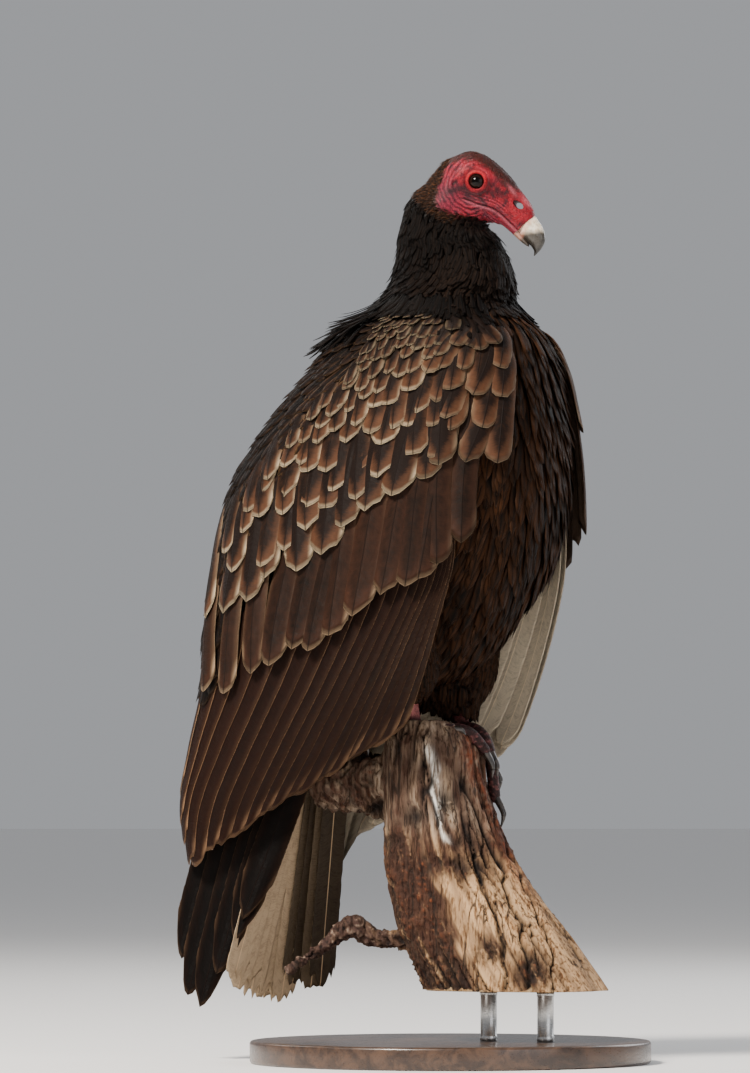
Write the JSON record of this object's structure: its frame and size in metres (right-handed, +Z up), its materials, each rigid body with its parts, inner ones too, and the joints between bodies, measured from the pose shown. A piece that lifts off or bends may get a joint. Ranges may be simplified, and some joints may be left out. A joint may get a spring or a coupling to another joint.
{
  "type": "turkey vulture",
  "caption": "Life-size perched turkey vulture with a bare red head, drooping folded wings and a hanging tail, gripping a cut dead limb on a plain display stand.",
  "frame": {"origin": "on the floor, at the middle of the stand base's underside", "axes": "+Z up, the bird faces -Y, its left side is +X"},
  "size_m": [0.32, 0.3834, 0.7283],
  "materials": {
    "face_skin": "bare wrinkled crimson skin, slightly moist",
    "bill_horn": "ivory horn, worn satin",
    "eye": "wet dark brown",
    "ruff_feathers": "soft black feathers",
    "body_feathers": "dark brown feathers with paler edges",
    "flight_feathers": "blackish brown long feathers, tan edges, grey undersides",
    "leg_skin": "dull pink scaly skin",
    "claw_horn": "dark horn",
    "dead_wood": "weathered, cracked and dry",
    "stand_wood": "dark satin lacquer",
    "stand_steel": "brushed"
  },
  "bodies": {
    "root": {"bill_lower": "bill_horn", "bill_upper": "bill_horn", "claw_left_back": "claw_horn", "claw_left_inner": "claw_horn", "claw_left_middle": "claw_horn", "claw_left_outer": "claw_horn", "claw_right_back": "claw_horn", "claw_right_inner": "claw_horn", "claw_right_middle": "claw_horn", "claw_right_outer": "claw_horn", "eye_left": "eye", "eye_right": "eye", "head": "face_skin", "neck": "ruff_feathers", "perch_limb": "dead_wood", "perch_twig": "dead_wood", "shank_left": "leg_skin", "shank_right": "leg_skin", "stand_base": "stand_wood", "stand_rod_front": "stand_steel", "stand_rod_rear": "stand_steel", "tail": "flight_feathers", "thigh_left": "body_feathers", "thigh_right": "body_feathers", "toe_left_back": "leg_skin", "toe_left_inner": "leg_skin", "toe_left_middle": "leg_skin", "toe_left_outer": "leg_skin", "toe_right_back": "leg_skin", "toe_right_inner": "leg_skin", "toe_right_middle": "leg_skin", "toe_right_outer": "leg_skin", "trunk": "body_feathers", "wing_left_coverts": "body_feathers", "wing_left_primaries": "flight_feathers", "wing_left_secondaries": "flight_feathers", "wing_right_coverts": "body_feathers", "wing_right_primaries": "flight_feathers", "wing_right_secondaries": "flight_feathers"}
  },
  "joints": []
}
